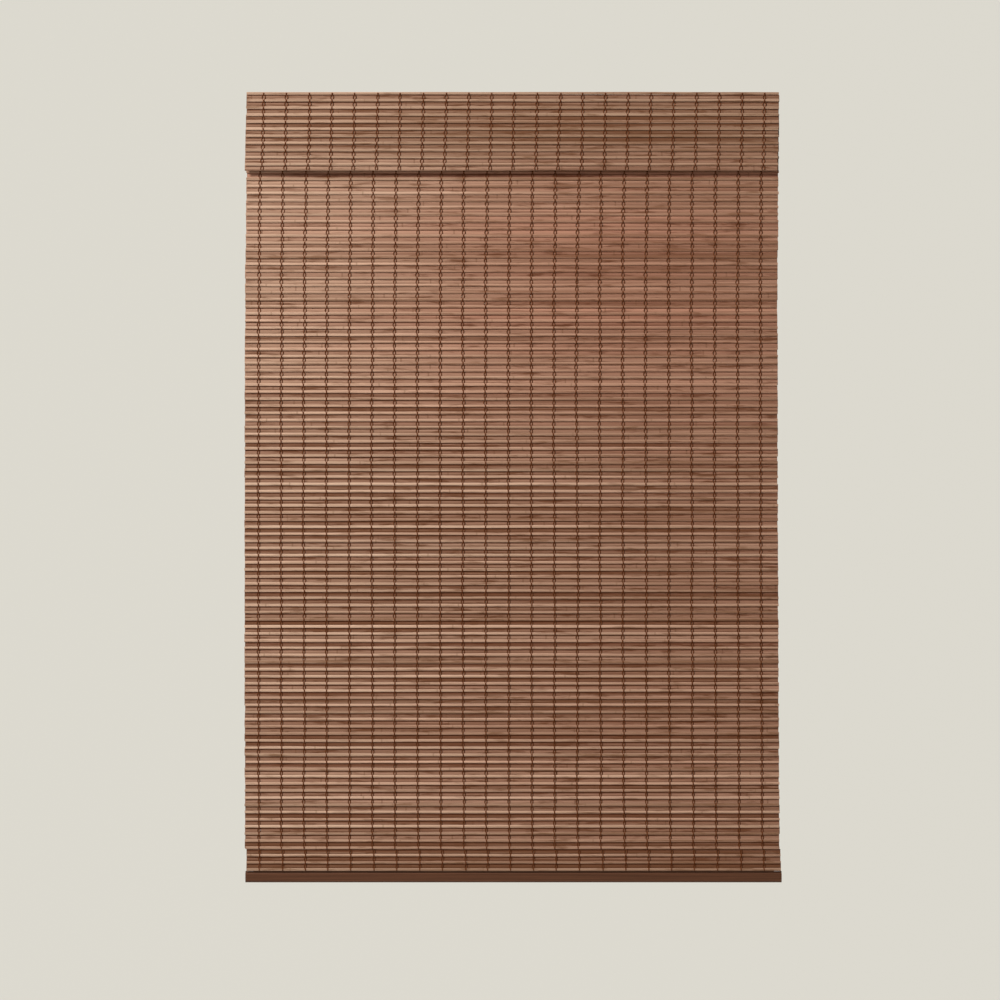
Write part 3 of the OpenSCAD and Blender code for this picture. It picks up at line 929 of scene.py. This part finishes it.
    def bridge(
        self,
        lower: tuple[str, str],
        row: int,
        front: np.ndarray,
        back: np.ndarray,
        yarn: bpy.types.Material,
    ) -> bpy.types.Object:
        """Threads that cross a fold line: the stations between two sections, filled in by straight lines.

        Args:
            lower: node and body below it.
            row: number of the first row below the fold.
            front: rings of the front strands of the strip.
            back: rings of the back strands of the strip.
            yarn: the finish of the warp threads.

        Returns:
            The bridge, with its place baked into its mesh.
        """
        front_at, back_at = row * len(self.strand_drops), row * len(self.back_drops)
        yarns = [
            Skin(fill_steps(front[:, front_at - 1 : front_at + 2], self.front_parts), 0),
            Skin(fill_steps(back[:, back_at - 1 : back_at + 1], self.back_parts), 0),
        ]
        piece = skin_mesh(f"{lower[0]}_fold_threads", yarns, [yarn], np.pi)
        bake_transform(piece)
        return piece


@dataclass
class LiftCord:
    """Braided cord from the headrail down to its anchor, as it hangs with the shade lowered.

    keep is the share of its length that is left when the shade is all the way up; it is not used.
    """

    node: str
    keep: float = 0.212
    sides: int = 8
    plait_mm: float = 6.0
    step_mm: float = 1.5
    core: float = 0.90
    lump: float = 0.10

    def build(self, finish: bpy.types.Material) -> bpy.types.Object:
        """Makes the cord.

        The section is a circle whose radius rises and falls with two waves that wind round the cord
        in opposite directions, which gives the crossing plaits.

        Args:
            finish: the cord's material.

        Returns:
            The cord, attached to the headrail's body.
        """
        low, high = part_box(self.node)
        radius = (high.x - low.x) / 2
        middle_x, middle_y = (high.x + low.x) / 2, (high.y + low.y) / 2
        count = round((high.z - low.z) / (self.step_mm * MM))
        height = np.linspace(high.z, low.z, count)[:, None]
        turn = np.linspace(0.0, FULL_TURN, self.sides, endpoint=False)[None, :]
        wind = FULL_TURN * height / (self.plait_mm * MM)
        lump = np.maximum(np.sin(2.0 * turn + wind), np.sin(2.0 * turn - wind))
        swell = radius * (self.core + self.lump * lump)
        rings = np.empty((1, count, self.sides, 3))
        rings[0, :, :, 0] = middle_x + swell * np.cos(turn)
        rings[0, :, :, 1] = middle_y - swell * np.sin(turn)
        rings[0, :, :, 2] = height
        cord = skin_mesh(f"{self.node}_braid", [Skin(rings, 0)], [finish], np.pi)
        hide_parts(self.node)
        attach(cord, "headrail_assembly")
        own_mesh(cord)
        return cord


@dataclass
class HardParts:
    """The CAD nodes whose shape is kept, and the finish that each one shows."""

    finishes: dict[str, HardFinish]
    nodes: dict[str, tuple[str, ...]]

    def dress(self) -> int:
        """Puts each finish on its nodes.

        Returns:
            How many nodes were dressed.
        """
        done = 0
        for key, names in self.nodes.items():
            material = self.finishes[key].make()
            for name in names:
                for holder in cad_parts[name].material_slots:
                    holder.material = material
                done += 1
        return done


@dataclass(frozen=True)
class Lamp:
    """A square area lamp that faces a point: places and side in metres, power in watts."""

    name: str
    place: tuple[float, float, float]
    aim: tuple[float, float, float]
    side: float
    power: float
    colour: str

    def hang(self) -> None:
        """Hangs the lamp in the scene."""
        light = bpy.data.lights.new(self.name, "AREA")
        light.size = self.side
        light.energy = self.power
        light.color = linear(self.colour)[:3]
        holder = bpy.data.objects.new(self.name, light)
        holder.location = self.place
        away = Vector(self.place) - Vector(self.aim)
        holder.rotation_euler = away.to_track_quat("Z", "Y").to_euler()
        bpy.context.collection.objects.link(holder)


@dataclass
class Studio:
    """Pale sweep far behind and below, one high soft key light, a broad fill, and the camera, in metres."""

    view_width: float = 1.7125
    centre: tuple[float, float] = (-0.0206, -0.7010)
    pitch: float = np.radians(1.0)
    lens: float = 85.0
    sensor: float = 36.0
    plane: float = -0.030
    floor: float = -3.6
    front: float = -16.0
    wall: float = 7.5
    wall_height: float = 12.0
    half_width: float = 14.0
    bend: float = 2.5
    bend_points: int = 24
    backdrop: str = "DEDBD1"
    paper_glow: float = 0.95
    backdrop_strength: float = 0.955
    air: str = "FFFDF8"
    air_strength: float = 0.15
    lamps: tuple[Lamp, ...] = (
        Lamp("key", (-4.0, -2.7, 3.35), (0.0, 0.0, -0.7), 1.2, 624.0, "FFFCF8"),
        Lamp("fill", (-2.2, -4.4, 0.6), (0.0, 0.0, -0.6), 3.0, 34.0, "FFFBF4"),
        Lamp("back", (1.4, 3.6, 2.2), (0.0, 0.0, -0.7), 2.0, 150.0, "FFFFFF"),
    )

    def sweep(self) -> None:
        """Lays a floor that curves up into a wall: a line, a quarter circle and a line, carried sideways."""
        arc = np.linspace(0.0, np.pi / 2, self.bend_points)
        depth = np.concatenate([[self.front], self.wall - self.bend + self.bend * np.sin(arc), [self.wall]])
        rise = np.concatenate([[0.0], self.bend - self.bend * np.cos(arc), [self.wall_height]])
        grid = np.empty((len(depth), 2, 3))
        grid[..., 0] = np.array([-self.half_width, self.half_width])[None, :]
        grid[..., 1] = depth[:, None]
        grid[..., 2] = (rise + self.floor)[:, None]
        at = np.arange(len(depth) * 2).reshape(-1, 2)
        quads = np.stack([at[:-1, 0], at[:-1, 1], at[1:, 1], at[1:, 0]], axis=1)
        mesh = bpy.data.meshes.new("studio_sweep")
        mesh.from_pydata(grid.reshape(-1, 3).tolist(), [], quads.tolist())
        mesh.shade_smooth()
        mesh.materials.append(self.paper())
        piece = bpy.data.objects.new("studio_sweep", mesh)
        bpy.context.collection.objects.link(piece)

    def shown(self, tree: bpy.types.NodeTree) -> bpy.types.NodeSocket:
        """Tells what is looked at from what only gives light.

        Args:
            tree: the node tree that asks.

        Returns:
            A socket that is 1 for what the camera sees, straight, mirrored or through glass, and else 0.
        """
        path = add_node(tree, "ShaderNodeLightPath").outputs
        seen = path["Is Camera Ray"]
        for way in ("Is Glossy Ray", "Is Transmission Ray"):
            seen = add_node(tree, "ShaderNodeMath", {0: seen, 1: path[way]}, operation="MAXIMUM").outputs[0]
        return seen

    def paper(self) -> bpy.types.Material:
        """Matt paper sweep: an even pale tone to the eye and in reflections, plain paper to other light.

        Returns:
            The paper's material.
        """
        material, tree = empty_material("matt_paper_sweep")
        matt = add_node(tree, "ShaderNodeBsdfDiffuse", {"Color": linear(self.backdrop)})
        even = add_node(tree, "ShaderNodeEmission", {"Color": linear(self.backdrop), "Strength": 1.0})
        share = add_node(
            tree, "ShaderNodeMath", {0: self.shown(tree), 1: self.paper_glow}, operation="MULTIPLY"
        )
        mixed = add_node(
            tree, "ShaderNodeMixShader", {0: share.outputs[0], 1: matt.outputs[0], 2: even.outputs[0]}
        )
        add_node(tree, "ShaderNodeOutputMaterial", {"Surface": mixed.outputs[0]})
        return material

    def camera(self) -> None:
        """Places the camera in front of the shade, looking up a little, as far as the view width asks."""
        data = bpy.data.cameras.new("camera")
        data.lens = self.lens
        data.sensor_width = self.sensor
        holder = bpy.data.objects.new("camera", data)
        distance = self.view_width * self.lens / self.sensor
        back = distance * np.cos(self.pitch)
        fall = distance * np.sin(self.pitch)
        holder.location = (self.centre[0], self.plane - back, self.centre[1] - fall)
        holder.rotation_euler = (np.pi / 2 + self.pitch, 0.0, 0.0)
        bpy.context.collection.objects.link(holder)
        bpy.context.scene.camera = holder

    def world(self) -> None:
        """Fills the air with an even pale light, and shows the backdrop's tone to the eye and in metal."""
        world = bpy.data.worlds.new("studio_air")
        bpy.context.scene.world = world
        world.use_nodes = True
        tree = world.node_tree
        tree.nodes.clear()
        tones = ((self.air, self.air_strength), (self.backdrop, self.backdrop_strength))
        light, seen = [
            add_node(tree, "ShaderNodeBackground", {"Color": linear(tone), "Strength": strength}).outputs[0]
            for tone, strength in tones
        ]
        mixed = add_node(tree, "ShaderNodeMixShader", {0: self.shown(tree), 1: light, 2: seen})
        add_node(tree, "ShaderNodeOutputWorld", {"Surface": mixed.outputs[0]})

    def build(self) -> None:
        """Sets up the camera, the sweep, the air and the lamps."""
        self.camera()
        self.sweep()
        self.world()
        for lamp in self.lamps:
            lamp.hang()
        bpy.context.scene.view_settings.view_transform = "Standard"


# Split bamboo slat, stained: mid brown with long streaks, redder in patches, and dark red-brown
# painted shade in its recesses
SLAT_FINISH = BambooFinish("stained_bamboo_slat", "64402A", "B8957F", "EFCFC8")
# Round bamboo reed, waxed: paler and a little shinier, a light line in every row
REED_FINISH = BambooFinish("waxed_bamboo_reed", "80604A", "C6A690", "F0D2CB", roughness=0.45)
# Spun cotton yarn: dark brown, dull and slightly fuzzy
YARN_FINISH = HardFinish(
    "spun_cotton_yarn", "683A1F", "4E260F", 0.92, 0.05, texture_mm=(0.7, 0.7, 1.1), relief_mm=0.12, gloss=0.1
)
HARD_FINISHES = {
    # Powder-coated steel: an even off-white film with a faint orange peel
    "painted_steel": HardFinish(
        "powder_coated_steel", "E6E3DA", "DDD9CE", 0.42, 0.06, texture_mm=(1.2, 1.2, 1.2), relief_mm=0.03
    ),
    # Zinc-plated steel: bright grey metal with soft rolled streaks
    "zinc_steel": HardFinish(
        "zinc_plated_steel", "B9BCBE", "9FA3A6", 0.34, 0.08, (18.0, 1.5, 1.5), relief_mm=0.02, metallic=1.0
    ),
    # Moulded acetal: ivory, slightly waxy, its moulded texture drawn coarse enough to show
    "pale_plastic": HardFinish(
        "moulded_acetal", "E8E4D8", "DFDACB", 0.40, 0.05, texture_mm=(0.8, 0.8, 0.8), relief_mm=0.02
    ),
    # Hook-and-loop tape: fuzzy beige pile that takes the light softly
    "hook_and_loop": HardFinish(
        "hook_and_loop_pile", "C9BCA6", "A99A82", 0.95, 0.04, (0.7, 0.7, 0.7), relief_mm=0.35, sheen=0.4
    ),
    # Stained and varnished wood: dark brown with fine lines along the grain
    "painted_wood": HardFinish(
        "stained_wood_rail", "5B3927", "472A1A", 0.45, 0.08, (160.0, 4.0, 1.3), relief_mm=0.12, gloss=0.2
    ),
    # Braided polyester: tan, dull, with a fine plait
    "braided_cord": HardFinish(
        "braided_polyester", "B7A084", "94795C", 0.85, 0.06, (0.6, 0.6, 1.4), relief_mm=0.08, sheen=0.3
    ),
}
SIDES = ("left", "centre", "right")
FOLDS, RING_ROWS = 10, 5
HARD_NODES = {
    "painted_steel": ("headrail",),
    "zinc_steel": ("bracket_left", "bracket_right", "lift_shaft", "motor_screws", "lift_spring"),
    "pale_plastic": (
        *("headrail_cap_left", "headrail_cap_right", "cord_guides", "cord_anchors"),
        *("motor_housing", "motor_cover", "output_drum", "storage_drum"),
        *(f"cord_spool_{side}" for side in SIDES),
        *(f"spool_cradle_{side}" for side in SIDES),
        *(f"ring_row_{number:02d}" for number in range(1, RING_ROWS + 1)),
    ),
    "hook_and_loop": ("mat_tape", "valance_tape"),
    "painted_wood": ("bottom_rail", "bottom_rail_cap_left", "bottom_rail_cap_right"),
    "braided_cord": ("cord_knots",),
}


def mat_sections() -> list[tuple[str, str]]:
    """Lists the hanging mat's sections from the top down, each with its body."""
    folds = [(f"mat_fold_{i:02d}", f"fold_{i:02d}") for i in range(1, FOLDS + 1)]
    return [("mat_upper", "headrail_assembly"), *folds, ("mat_lower", "bottom_assembly")]


def woven_strips() -> list[WovenStrip]:
    """Sets up the mat, the valance and the hem facing.

    Returns:
        The three strips, each with its own place, lean and evenness.
    """
    mat = WovenStrip(
        weave=Weave.MAT,
        sections=mat_sections(),
        warp_span=(-433.5, 427.5),
        order=RowOrder.SLAT_FIRST,
        seed=11,
        lean=(2.4, -1.2, -1.5, -0.8, 0.4),
        bow=-2.0,
        oddness=(0.85, 0.80, 0.85, 0.70, 1.30, 1.50, 1.05),
        slat_steps=(1.10, 2.20),
    )
    valance = WovenStrip(
        weave=Weave.VALANCE,
        sections=[("valance", "headrail_assembly")],
        warp_span=(-427.5, 433.0),
        order=RowOrder.REED_FIRST,
        seed=23,
        lean=(1.6, -1.6),
        oddness=(0.1, 0.1),
        slat_steps=(1.15, 1.15),
    )
    hem = WovenStrip(
        weave=Weave.HEM,
        sections=[("hem_facing", "bottom_assembly")],
        warp_span=(-431.5, 430.5),
        order=RowOrder.SLAT_FIRST,
        seed=37,
        bow=-1.2,
    )
    return [mat, valance, hem]


def main() -> None:
    """Builds the studio, the woven strips, the cords and the finishes."""
    logging.basicConfig(level=logging.INFO, format="%(message)s")
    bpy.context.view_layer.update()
    Studio().build()
    LOG.info("studio: camera, sweep, lamps")
    sticks = [SLAT_FINISH.make(), REED_FINISH.make()]
    yarn = YARN_FINISH.make()
    for strip in woven_strips():
        for piece in strip.build(sticks, yarn):
            LOG.info("piece: %s, %d vertices", piece.name, len(piece.data.vertices))
    cord_finish = HARD_FINISHES["braided_cord"].make()
    for side in SIDES:
        cord = LiftCord(f"lift_cord_{side}").build(cord_finish)
        LOG.info("piece: %s, %d vertices", cord.name, len(cord.data.vertices))
    LOG.info("dressed CAD nodes: %d", HardParts(HARD_FINISHES, HARD_NODES).dress())


if __name__ == "__main__":
    main()
